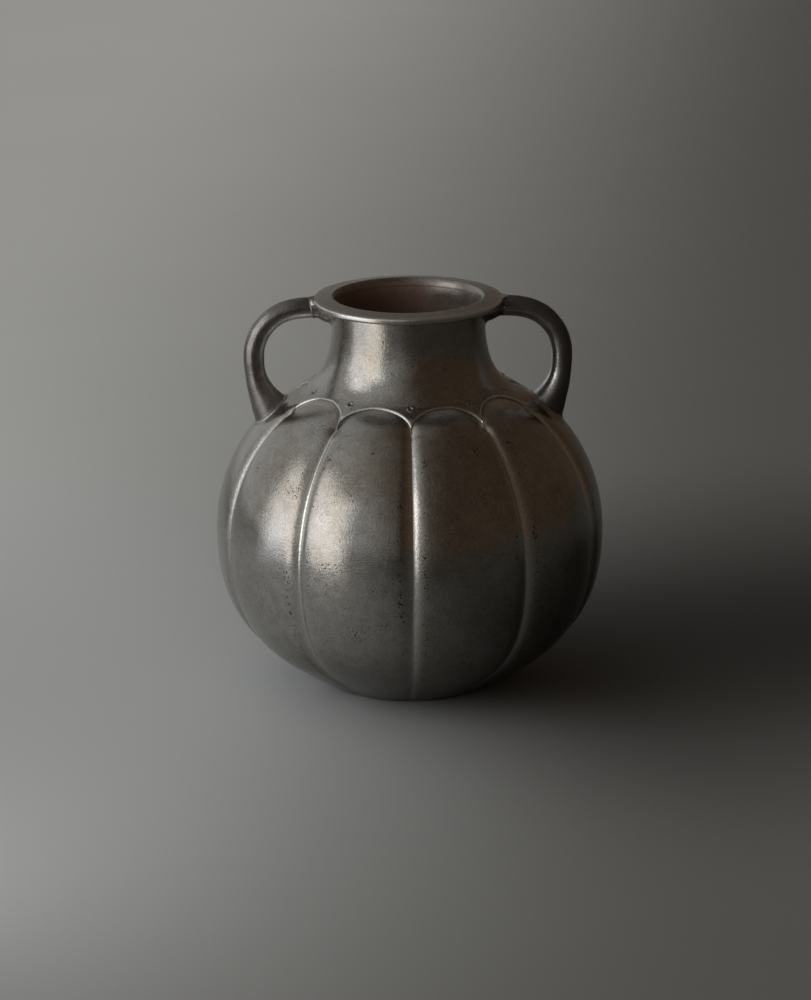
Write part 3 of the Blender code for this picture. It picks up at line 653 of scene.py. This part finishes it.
def makeNeck():
    # Outside from the arch line, whose edge is rounded as a quarter ellipse, through a band of rows
    # that leaves the arches' shape behind, up to the rim; then down inside. The dots are dents with a
    # raised burr, on the grooves' lines between the arches
    p = neck
    steps = lobes["edgeRound"] * np.array([0, 0.03, 0.09, 0.18, 0.3, 0.46, 0.68, 1.0])[:, None]
    edge = archLine + steps * archStretch
    bandTop = crownRun + p["bandRise"]
    band = between(edge[-1], bandTop, p["bandRows"], 1.15)
    upper = between(bandTop, topRun + 0 * across, p["topRows"])
    run = np.concatenate([edge, band, upper])
    inward = np.clip((run - archLine) / archStretch / lobes["edgeRound"], 0, 1)
    edgeDrop = lobes["edgeStep"] * (1 - np.sqrt(1 - (1 - inward) ** 2))
    sideways = (1 - np.abs(across)) * lobeAngle / 2 * np.interp(run, crestRun, crest[:, 0])
    fromDot = np.hypot(sideways, run - dotRun)
    ragged = 1 + 0.5 * ripple(shellPoints(run, 0 * run, 0), 1.6, 14)
    dent = p["dotDepth"] * ragged * bell(fromDot, p["dotRadius"]) ** 1.6
    burr = p["burr"] * ragged**3 * bell(fromDot - p["burrRadius"], p["burrWidth"])
    outside = filletToLugs(shellPoints(run, valleyDepth(run) + edgeDrop + dent - burr, 1), neckDistance)
    # The dots are darker, with grime and painted shade, a painted shadow lies in the corner under the rim,
    # and the rounded edge over the arches carries a painted highlight, partly wear
    underRim = p["rimShadow"] * bell(topRun - run, p["rimShadowWidth"])
    grimeAndShadeOut = np.maximum(bell(fromDot, p["dotGrimeAndShadeWidth"]), underRim)
    wearAndSheenOut = bell(inward - p["edgeHighlightAt"], p["edgeHighlightWidth"]) * (inward < 1)

    # Under the edge: down past the body's surface, then along its lap, up the notch and inside
    skirtDepth = valleyDepth(archLine) + lobes["edgeStep"] + p["skirtDrop"]
    skirt = shellPoints(archLine[None], skirtDepth[None], 1)
    flat = np.ones((1, len(across)))
    notch = shellPoints(flat * (collarRun + p["notchRise"]), flat * p["notchDepth"], 0)
    under = np.concatenate([skirt, lapRings(p["lapGap"], 0), notch])
    # The wall thins out towards the mouth along the same ellipse as the rim's lip. To the right the
    # metal there is nearly bare
    run = np.linspace(collarRun + p["innerStart"], topRun, p["innerRows"])[:, None] + 0 * across
    rise = np.clip((np.interp(run, crestRun, crest[:, 1]) - rim["height"]) / rim["lipRound"] + 1, 0, 1)
    inside = shellPoints(run, p["wall"] - rim["lipWidth"] * (1 - np.sqrt(1 - rise**2)), 0)
    oxide = 1 - bareShare(azimuth) * smooth(1.3 - (topRun - run) / p["bareHeight"])
    isSkirt = (np.arange(len(under)) == 0)[:, None] + 0 * across
    marks = {
        "grimeAndShade": np.concatenate([grimeAndShadeOut[::-1], isSkirt, 0 * oxide]),
        "wearAndSheen": np.concatenate([wearAndSheenOut[::-1], 0 * isSkirt, 0 * oxide]),
        "inside": np.concatenate([0 * wearAndSheenOut, 1 - isSkirt, oxide]),
    }
    rings = np.concatenate([outside[::-1], under, inside])
    makePiece("shoulderNeckCast", rings, castPewter, "shoulder_neck", marks=marks)


makeNeck()
print("shoulder and neck made")


# Rim and lugs

def turned(outline, steps):
    # A closed outline (radius, height) carried once round the axis
    angle = fullTurn(steps)
    r, h = outline.T[:, :, None]
    return np.stack([r * np.cos(angle), r * np.sin(angle), h + 0 * angle], axis=-1)


def arcPoints(centre, radius, start, end, count):
    # Circular arc from one angle to another, in degrees
    a = np.radians(np.linspace(start, end, count))
    return np.stack([centre[0] + radius * np.cos(a), centre[1] + radius * np.sin(a)], axis=-1)


def makeRim():
    # Top that falls outwards, rounded outer edge, flat underside over the neck, and a soft lip
    # round the mouth: the upper part of a tall quarter ellipse, which goes on down the neck
    p = rim
    bottom = p["height"] - p["thickness"]
    fallAngle = np.degrees(np.arctan2(p["fall"], p["radius"] - p["bore"] - p["lipWidth"]))
    r = p["edgeRound"]
    a = np.linspace(np.arcsin(1 - (p["thickness"] - p["lipStart"]) / p["lipRound"]), pi / 2, 12)
    lip = np.stack([p["bore"] + p["lipWidth"] * (1 - np.cos(a)),
                    p["height"] - p["lipRound"] * (1 - np.sin(a))], axis=-1)
    upperEdge = arcPoints((p["radius"] - r, p["height"] - p["fall"] - r), r, 90 - fallAngle, 0, 8)
    lowerEdge = arcPoints((p["radius"] - r, bottom + r), r, 0, -90, 8)
    top = between(lip[-1], upperEdge[0], 12)[:-1]
    under = between(lowerEdge[-1], np.array([lip[0, 0], bottom]), 8)
    side = between(under[-1], lip[0], 4)[:-1]
    outline = np.concatenate([lip, top, upperEdge, lowerEdge, under, side])
    rings = turned(outline, p["steps"])
    onTop = (outline[:, 1] > bottom + 1.0)[:, None]
    wobble = p["unevenness"] * (ripple(rings, 14, 21) + ripple(rings, 5, 22)) * onTop
    rings[:, :, :2] += unit(rings[:, :, :2]) * wobble[:, :, None]
    rings[:, :, 2] += 0.8 * p["unevenness"] * ripple(rings, 9, 23) * onTop

    # A fillet leads over to each lug, under and beside the rim, but leaves its top as it is
    plain = rings
    level = plain[:, :, 2]
    rings = filletToLugs(plain, rimDistance)
    mouthward = np.hypot(plain[:, :, 0], plain[:, :, 1]) < p["filletFrom"]
    rings = np.where(mouthward[:, :, None], plain, rings)
    isTop = level > p["height"] - p["fall"] - p["topBand"]
    height = np.where(isTop, np.minimum(rings[:, :, 2], level), rings[:, :, 2])
    rings[:, :, 2] = np.minimum(height, p["height"])

    # The edge carries a painted highlight, partly wear, and the top is duller. The lip turns brown
    # towards the mouth, and the underside keeps the casting's pale skin, which is also painted light
    # under the rim. Each mark fades over a few points of the outline, counted from its parts
    at = np.arange(len(outline))[:, None]
    edgeStart = len(lip) + len(top)
    underStart = edgeStart + len(upperEdge) + len(lowerEdge)
    wearAndSheen = bell(at - edgeStart - 4, 4)
    darkening = np.where(at < edgeStart + 6, p["topGrime"], p["underGrime"]) * (1 - 0.8 * wearAndSheen)
    oxide = np.clip(1 - at / 6, 0, 1) + (at > len(outline) - 4)
    oxide = oxide * (1 - bareShare(fullTurn(p["steps"])))
    skinAndPaintedLight = smooth((at - underStart + 1) / 4)
    marks = {"grimeAndShade": darkening * (1 - skinAndPaintedLight), "wearAndSheen": wearAndSheen, "inside": oxide, "skinAndPaintedLight": skinAndPaintedLight}
    makePiece("rimRingCast", rings, castPewter, "rim_ring", marks=marks, sharp=60)


makeRim()
print("rim made")


# Handles

def tubeSurface(line, sides):
    # A round section carried along a line in the XZ plane, square to it
    along = measure(line)[1]
    angle = fullTurn(sides)
    x = line[:, 0:1] + line[:, 2:3] * along[:, 1:2] * np.cos(angle)
    y = line[:, 2:3] * np.sin(angle)
    z = line[:, 1:2] - line[:, 2:3] * along[:, 0:1] * np.cos(angle)
    return np.stack([x, y, z], axis=-1)


def tubeRings(line, side, sides, uneven, seed):
    # The tube with slight unevenness: ripples 17 mm and 6 mm long move its points out and in
    rings = tubeSurface(line, sides) * [side, 1, 1]
    centre = np.stack([side * line[:, 0], 0 * line[:, 0], line[:, 1]], axis=-1)[:, None]
    outward = (rings - centre) / line[:, 2:3, None]
    return rings + uneven * outward * (ripple(rings, 17, seed) + 0.4 * ripple(rings, 6, seed + 1))[:, :, None]


def tiltEnd(rings, side):
    # Leans the joint of lug and handle outwards at its top: x shifts with the height, and less the
    # further a point is from the joint
    p = handle
    lean = p["seamTilt"] * (rings[:, :, 2] - p["seamHeight"]) / (p["thickness"] / 2)
    rings[:, :, 0] += side * lean * bell(np.abs(rings[:, :, 0]) - p["seamRadius"], p["tiltWidth"])
    return rings


def makeHandle(side, word):
    # A tube along the handle's line, with a fillet to the body at its foot
    p = handle
    line = handleLine(side)
    rings = tubeRings(line, side, p["sides"], p["unevenness"], p["seed"][side])
    rings = filletTo(rings, tubeDistance(line, side), bodyDistance, p["footFillet"][side])
    rings = tiltEnd(rings, side)
    # Grime sits at the seam. Round the foot the handle is painted darker, partly grime and partly
    # painted shade over its highlight. Hands have worn the outer face bright, in patches, from the top
    # down to where the foot begins, and this brightness is partly a painted highlight. The right
    # handle's inner face, which the neck shades, carries the most painted shade, partly dirt
    facing = np.cos(fullTurn(p["sides"]))
    low = 1 - smooth((rings[:, :, 2] - p["wearEnd"]) / p["wearFade"])
    wearAndSheen = smooth((facing + 0.1) / 0.9) * (0.9 + 0.35 * ripple(rings, 5, 43)) * (1 - 0.7 * low)
    wearAndSheen = np.clip(wearAndSheen, 0, 1)
    seamGrime = 0.35 * bell(np.arange(len(line))[:, None], 4.0)
    grimeAndShade = np.maximum(seamGrime, 0.9 * (side > 0) * smooth((0.3 - facing) / 0.6))
    grimeAndShade = grimeAndShade * (1 - wearAndSheen) + low * (0.35 + 0.3 * ripple(rings, 4, 44))
    makePiece("handle" + word + "Cast", rings, handlePewter, "handle_" + word.lower(),
              capped=True, marks={"grimeAndShade": np.clip(grimeAndShade, 0, 1), "wearAndSheen": wearAndSheen})


def makeLug(side, word):
    # The stub from the neck's side to the handle's seam. It widens inwards under the rim, and a
    # fillet joins it to rim and neck
    line = lugLine()
    rings = tubeRings(line, side, lug["sides"], lug["unevenness"], 41)
    for otherDistance in (rimDistance, neckDistance):
        rings = filletTo(rings, tubeDistance(line, side), otherDistance, lug["fillet"])
    # Its top is pressed down to just under the rim's own top, and comes up to the handle's at the
    # joint
    p = lug
    away = np.hypot(rings[:, :, 0], rings[:, :, 1])
    fall = rim["fall"] * np.clip((away - p["fallFrom"]) / p["fallWidth"], 0, 1)
    dip = p["dip"] * (1 - smooth((away - p["dipFrom"]) / p["dipWidth"]))
    rise = p["rise"] * smooth((away - p["riseFrom"]) / p["riseWidth"])
    rings[:, :, 2] = np.minimum(rings[:, :, 2], rim["height"] - fall - p["sink"] + rise - dip)
    rings = tiltEnd(rings, side)
    # The lug is painted darker towards its inner end, in the corner against neck and rim: painted shade,
    # partly grime
    darkening = bell(np.arange(len(line))[:, None] - len(line) + 1, 4.0)
    material, slot = (castPewter, "cast_pewter") if side < 0 else (handlePewter, "handle_pewter")
    makePiece("lug" + word + "Cast", rings, material, None, capped=True, marks={"grimeAndShade": darkening})


for side, word in ((-1, "Left"), (1, "Right")):
    makeHandle(side, word)
    makeLug(side, word)
print("handles and lugs made")


# Solder

# The left handle's solder stands out pale and rough, and the right one's is smoother and as brown as
# the handle
solder = {
    -1: {"material": solderPewter, "seamWidth": 0.62, "seamProud": 0.12, "seamRough": 0.24,
         "footRadius": 0.75, "footRough": 0.08},
    1: {"material": handlePewter, "seamWidth": 0.45, "seamProud": 0.06, "seamRough": 0.12,
        "footRadius": 0.6, "footRough": 0.05},
}
innerRings = {"thickness": 1.4, "base": (37.0, 3.5), "shoulder": (39.8, 140.2)}  # radius and height


def beadRings(centres, outward, sideways, radiusOut, radiusSideways, sides):
    # Bead along closed centres: an ellipse in the plane of the two directions at each centre
    angle = fullTurn(sides)[None, :, None]
    return (centres[:, None] + outward[:, None] * np.cos(angle) * radiusOut[:, None, None]
            + sideways[:, None] * np.sin(angle) * radiusSideways[:, None, None])


def makeSeam(side, word):
    # Collar of solder round the joint of lug and handle, sunk 0.25 mm into it, with a crinkled,
    # hand-run surface
    p = solder[side]
    rough = p["seamRough"]
    a = fullTurn(220)
    outward = np.stack([0 * a, np.cos(a), np.sin(a)], axis=-1)
    centres = outward * (handle["thickness"] / 2 - 0.25) + np.array([0, 0, handle["seamHeight"]])
    centres[:, 0] = side * (handle["seamRadius"] + 0.3 + rough * 0.9 * ripple(centres, 7, 51))
    height = p["seamProud"] * (1 + rough * ripple(centres, 4, 52)) + 0.25
    width = p["seamWidth"] * (1 + rough * ripple(centres, 5, 53))
    rings = beadRings(centres, outward, np.tile([1.0, 0, 0], (len(a), 1)), height, width, 40)
    crinkle = rough * 0.55 * (ripple(rings, 1.7, 54) + 0.7 * ripple(rings, 0.9, 55))
    rings = tiltEnd(rings + outward[:, None] * crinkle[:, :, None], side)
    # The crinkles' hollows are painted darker and their crests brighter: painted shade and painted
    # highlights, partly grime and wear
    grimeAndShade = np.clip(0.5 - crinkle / rough * 2.0, 0, 1)
    makePiece("solderSeam" + word, rings, p["material"], "solder_seam_" + word.lower(),
              marks={"grimeAndShade": grimeAndShade, "wearAndSheen": np.clip(0.7 - grimeAndShade, 0, 1)})


def makeFootSolder(side, word):
    # Bead where the handle's tube meets the lobe: on each side line of the tube the place where its
    # height over the lobe passes through zero, sunk half into both
    p = solder[side]
    grid = tubeSurface(handleLine(side, 40), 160)
    above = grid[:, :, 2] - bodyHeight(grid[:, :, 0], grid[:, :, 1])
    last = len(grid) - 1 - np.argmax((above > 0)[::-1], axis=0)
    column = np.arange(grid.shape[1])
    first, second = above[last, column], above[last + 1, column]
    share = (first / (first - second))[:, None]
    centres = grid[last, column] + share * (grid[last + 1, column] - grid[last, column])
    # The lobe's normal there, from its slopes over 0.2 mm to both sides, and the tube's outward side
    x, y = centres[:, 0], centres[:, 1]
    slopes = [(bodyHeight(x + dx, y + dy) - bodyHeight(x - dx, y - dy)) / 0.4
              for dx, dy in ((0.2, 0), (0, 0.2))]
    upward = unit(np.stack([-slopes[0], -slopes[1], 1 + 0 * x], axis=-1))
    tangent = unit(np.roll(centres, -1, axis=0) - np.roll(centres, 1, axis=0))
    outward = np.cross(tangent, upward)
    outward *= np.sign((outward * (centres - centres.mean(axis=0))).sum(axis=1))[:, None]
    centres, outward, upward = (vectors * [side, 1, 1] for vectors in (centres, outward, upward))
    swell = p["footRadius"] * (1 + 0.25 * ripple(centres, 6, 61))
    rings = beadRings(centres + 0.15 * outward, outward, upward, swell * 1.15, swell * 0.8, 28)
    crinkle = p["footRough"] * (ripple(rings, 2.2, 62) + 0.6 * ripple(rings, 1.1, 63))
    rings = rings + crinkle[:, :, None] * upward[:, None]
    # The bead's lower side is painted darker and its upper side brighter: painted shade and painted
    # highlights
    low = np.clip(-np.sin(fullTurn(28)), 0, 1)
    makePiece("solderFoot" + word, rings, p["material"], "solder_foot_" + word.lower(),
              marks={"grimeAndShade": low, "wearAndSheen": np.clip(0.6 - low, 0, 1)})


def makeInnerRing(name, radius, height, node, seed):
    # Solder run round the inside of a joint: a bead of uneven thickness
    a = fullTurn(300)
    outward = np.stack([np.cos(a), np.sin(a), 0 * a], axis=-1)
    centres = outward * radius + np.array([0, 0, height])
    swell = innerRings["thickness"] / 2 * (1 + 0.2 * ripple(centres, 8, seed))
    rings = beadRings(centres, outward, np.tile([0, 0, 1.0], (len(a), 1)), swell, swell, 20)
    makePiece(name, rings, solderPewter, node, marks={"grimeAndShade": 0.5})


for makeSolder in (makeSeam, makeFootSolder):
    makeSolder(-1, "Left")
    makeSolder(1, "Right")
makeInnerRing("solderRingBase", *innerRings["base"], "solder_base", 71)
makeInnerRing("solderRingShoulder", *innerRings["shoulder"], "solder_shoulder", 72)
print("solder made")


# Base disc

disc = {
    "radius": 37.5, "thickness": 2.6, "round": 0.35, "turningDepth": 0.02, "turningStep": 2.4, "steps": 256,
}


def makeDisc():
    # Underside and top joined by a rounded edge. Shallow turning marks ring both faces
    p = disc
    flat = p["radius"] - p["round"]
    inner = np.linspace(0.4, flat, 60)
    turning = np.maximum(p["turningDepth"] * np.sin(inner * 2 * pi / p["turningStep"]), 0)
    under = np.stack([inner, turning], axis=-1)
    edgeLow = arcPoints((flat, p["round"]), p["round"], -90, 0, 6)[1:]
    edgeHigh = arcPoints((flat, p["thickness"] - p["round"]), p["round"], 0, 90, 6)
    top = np.stack([inner, p["thickness"] - turning], axis=-1)[::-1][1:]
    rings = turned(np.concatenate([under, edgeLow, edgeHigh, top]), p["steps"])
    makePiece("baseDiscTurned", rings, castPewter, "base_disc", capped=True,
              marks={"grimeAndShade": 0.3})


makeDisc()
print("base made")


# Floor, light and camera

# Angles in degrees and lengths in metres. The sky's colours are linear
stage = {
    # The floor's left and right colours carry painted light and painted shade, and its painted shadow and the
    # oval's painted shade use the shade colour
    "floorLeft": "#f9fdfc", "floorRight": "#767774", "paintedShadeColour": "#150e06", "floorRadius": 7.0,
    "cloudiness": 0.06, "paintedShadowShare": 0.88, "paintedShadowAngle": 16, "paintedShadowWidth": 0.32,
    "glareShadeShare": 0.4, "glarePlace": (-0.27, -0.1), "glareSize": (0.22, 0.45),
    "skyLeft": (0.72, 0.73, 0.73, 1), "skyRight": (0.098, 0.070, 0.048, 1),
}
windows = {
    "window": {"azimuth": -74, "distance": 0.62, "bottom": 0.01, "width": 0.307, "height": 0.605,
               "power": 1.06, "colour": "#f2f5ff"},
    "windowEdge": {"azimuth": -49.5, "distance": 0.42, "bottom": 0.008, "width": 0.155, "height": 0.33,
                   "power": 0.275, "colour": "#fcfaf7"},
}
view = {
    "target": (0, 0, 0.089), "distance": 1.916, "elevation": 16.3, "turn": 1.0, "roll": 0.42,
    "lens": 151.2, "sensor": 36, "pixels": 1000, "offset": (4.0, -11.2),
}


def makeFloor():
    # Pale painted board: matt, with the faintest cloudiness. Painted shade darkens it towards the
    # right and the front, a painted shadow lies in a broad soft strip that runs off to the right of
    # the vase, and painted shade makes a soft oval beside the window, which lies in its glare, a
    # little deeper
    p = stage
    material, tree, shader, place = addMaterial("pale_painted_board")
    cloud = addNode(tree, "TexNoise", {"Scale": 6, "Detail": 3}, {"Vector": place})
    parts = addNode(tree, "SeparateXYZ", None, {"Vector": place})
    slant = addNode(tree, "Math", {"operation": "MULTIPLY_ADD", 1: -0.15},
                    {0: parts.outputs["Y"], 2: parts.outputs["X"]})
    shadowAxes = addNode(tree, "Mapping", {"Rotation": (0, 0, -radians(p["paintedShadowAngle"]))}, {"Vector": place})
    shadowStrip = addNode(tree, "SeparateXYZ", None, {"Vector": shadowAxes})
    away = addNode(tree, "Math", {"operation": "ABSOLUTE"}, {0: shadowStrip.outputs["Y"]})
    (left, front), (width, length) = p["glarePlace"], p["glareSize"]
    oval = addNode(tree, "Mapping", {"Location": (-left / width, -front / length, 0),
                                     "Scale": (1 / width, 1 / length, 0)}, {"Vector": place})
    fromOval = addNode(tree, "VectorMath", {"operation": "LENGTH"}, {"Vector": oval})

    # Soft steps: the painted shade to the right, the painted shadow's width, its start and its end, and the
    # oval's painted shade
    falloffShare, beside, begun, unended, glareShade = (
        addNode(tree, "MapRange", {"interpolation_type": "SMOOTHSTEP", "From Min": start, "From Max": end,
                                   "To Min": low, "To Max": high}, {"Value": source})
        for source, start, end, low, high in (
            (slant, -0.44, 0.18, 0, 1), (away, 0, p["paintedShadowWidth"], p["paintedShadowShare"], 0),
            (shadowStrip.outputs["X"], -0.06, 0.10, 0, 1), (shadowStrip.outputs["X"], 0.25, 0.6, 1, 0),
            (fromOval, 0, 1, p["glareShadeShare"], 0)))
    paintedShadow = addNode(tree, "Math", {"operation": "MULTIPLY"}, {0: beside, 1: begun})
    paintedShadow = addNode(tree, "Math", {"operation": "MULTIPLY"}, {0: paintedShadow, 1: unended})
    tone = addNode(tree, "Mix", {"data_type": "RGBA", 6: hexColour(p["floorLeft"]),
                                 7: hexColour(p["floorRight"])}, {0: falloffShare})
    tone = addNode(tree, "Mix", {"data_type": "RGBA", "blend_type": "MULTIPLY", 0: p["cloudiness"]},
                   {6: tone, 7: cloud})
    # Painted shadow in the strip, then painted shade in the oval beside the window
    for share in (paintedShadow, glareShade):
        tone = addNode(tree, "Mix", {"data_type": "RGBA", 7: hexColour(p["paintedShadeColour"])}, {0: share, 6: tone})
    tree.links.new(mainOutput(tone), shader.inputs["Base Color"])
    shader.inputs["Roughness"].default_value = 0.85
    angle = fullTurn(128)
    ring = np.stack([np.cos(angle), np.sin(angle), 0 * angle], axis=-1) * p["floorRadius"]
    mesh = bpy.data.meshes.new("floor")
    mesh.from_pydata(ring.tolist(), [], [list(range(len(ring)))])
    mesh.materials.append(material)
    addObject("floor", mesh)


def makeSky():
    # Soft room light, grey on the left and dimmer and warmer on the right
    world = bpy.data.worlds.new("soft_room")
    bpy.context.scene.world = world
    world.use_nodes = True
    tree = world.node_tree
    parts = addNode(tree, "SeparateXYZ", None, {"Vector": addNode(tree, "TexCoord").outputs["Generated"]})
    share = addNode(tree, "MapRange", {"interpolation_type": "SMOOTHSTEP", "From Min": -0.75,
                                       "From Max": 0.26}, {"Value": parts.outputs["X"]})
    tone = addNode(tree, "Mix", {"data_type": "RGBA", 6: stage["skyLeft"], 7: stage["skyRight"]}, {0: share})
    tree.links.new(mainOutput(tone), tree.nodes["Background"].inputs["Color"])


def addWindow(name, p):
    # Upright soft light facing the vase. Azimuth 0 is the camera's side, and negative is the left
    light = bpy.data.lights.new(name, "AREA")
    light.shape = "RECTANGLE"
    light.size = p["width"]
    light.size_y = p["height"]
    light.energy = p["power"]
    light.spread = radians(160)
    light.color = hexColour(p["colour"])[:3]
    a = radians(p["azimuth"])
    middle = Vector((0, 0, p["bottom"] + p["height"] / 2))
    place = middle + p["distance"] * Vector((sin(a), -cos(a), 0))
    holder = addObject(name, light)
    holder.visible_camera = False
    turn = (middle - place).to_track_quat("-Z", "Y").to_matrix()
    holder.matrix_world = Matrix.Translation(place) @ turn.to_4x4()


def lookAlong(direction):
    # Turns the camera along a direction, with its roll
    turn = direction.to_track_quat("-Z", "Y").to_matrix()
    return turn @ Matrix.Rotation(radians(-view["roll"]), 3, "Z")


def makeCamera():
    # Long lens from a little above. The target lies 4 px right of the picture's middle and 11 px
    # above it, in a picture 1000 px tall that the long side of the sensor covers
    e, t = radians(view["elevation"]), radians(view["turn"])
    back = Vector((-sin(t) * cos(e), -cos(t) * cos(e), sin(e)))
    target = Vector(view["target"])
    place = target + back * view["distance"]
    turn = lookAlong(-back)
    pixel = view["distance"] * view["sensor"] / view["lens"] / view["pixels"]
    aim = target - turn.col[0] * view["offset"][0] * pixel + turn.col[1] * view["offset"][1] * pixel
    camera = bpy.data.cameras.new("camera")
    camera.lens = view["lens"]
    camera.sensor_width = view["sensor"]
    camera.clip_start = 0.1
    camera.clip_end = 30
    holder = addObject("camera", camera)
    holder.matrix_world = Matrix.Translation(place) @ lookAlong(aim - place).to_4x4()
    bpy.context.scene.camera = holder


makeFloor()
makeSky()
for name, settings in windows.items():
    addWindow(name, settings)
makeCamera()
bpy.context.scene.view_settings.view_transform = "Standard"
print("stage made")

bpy.context.view_layer.update()
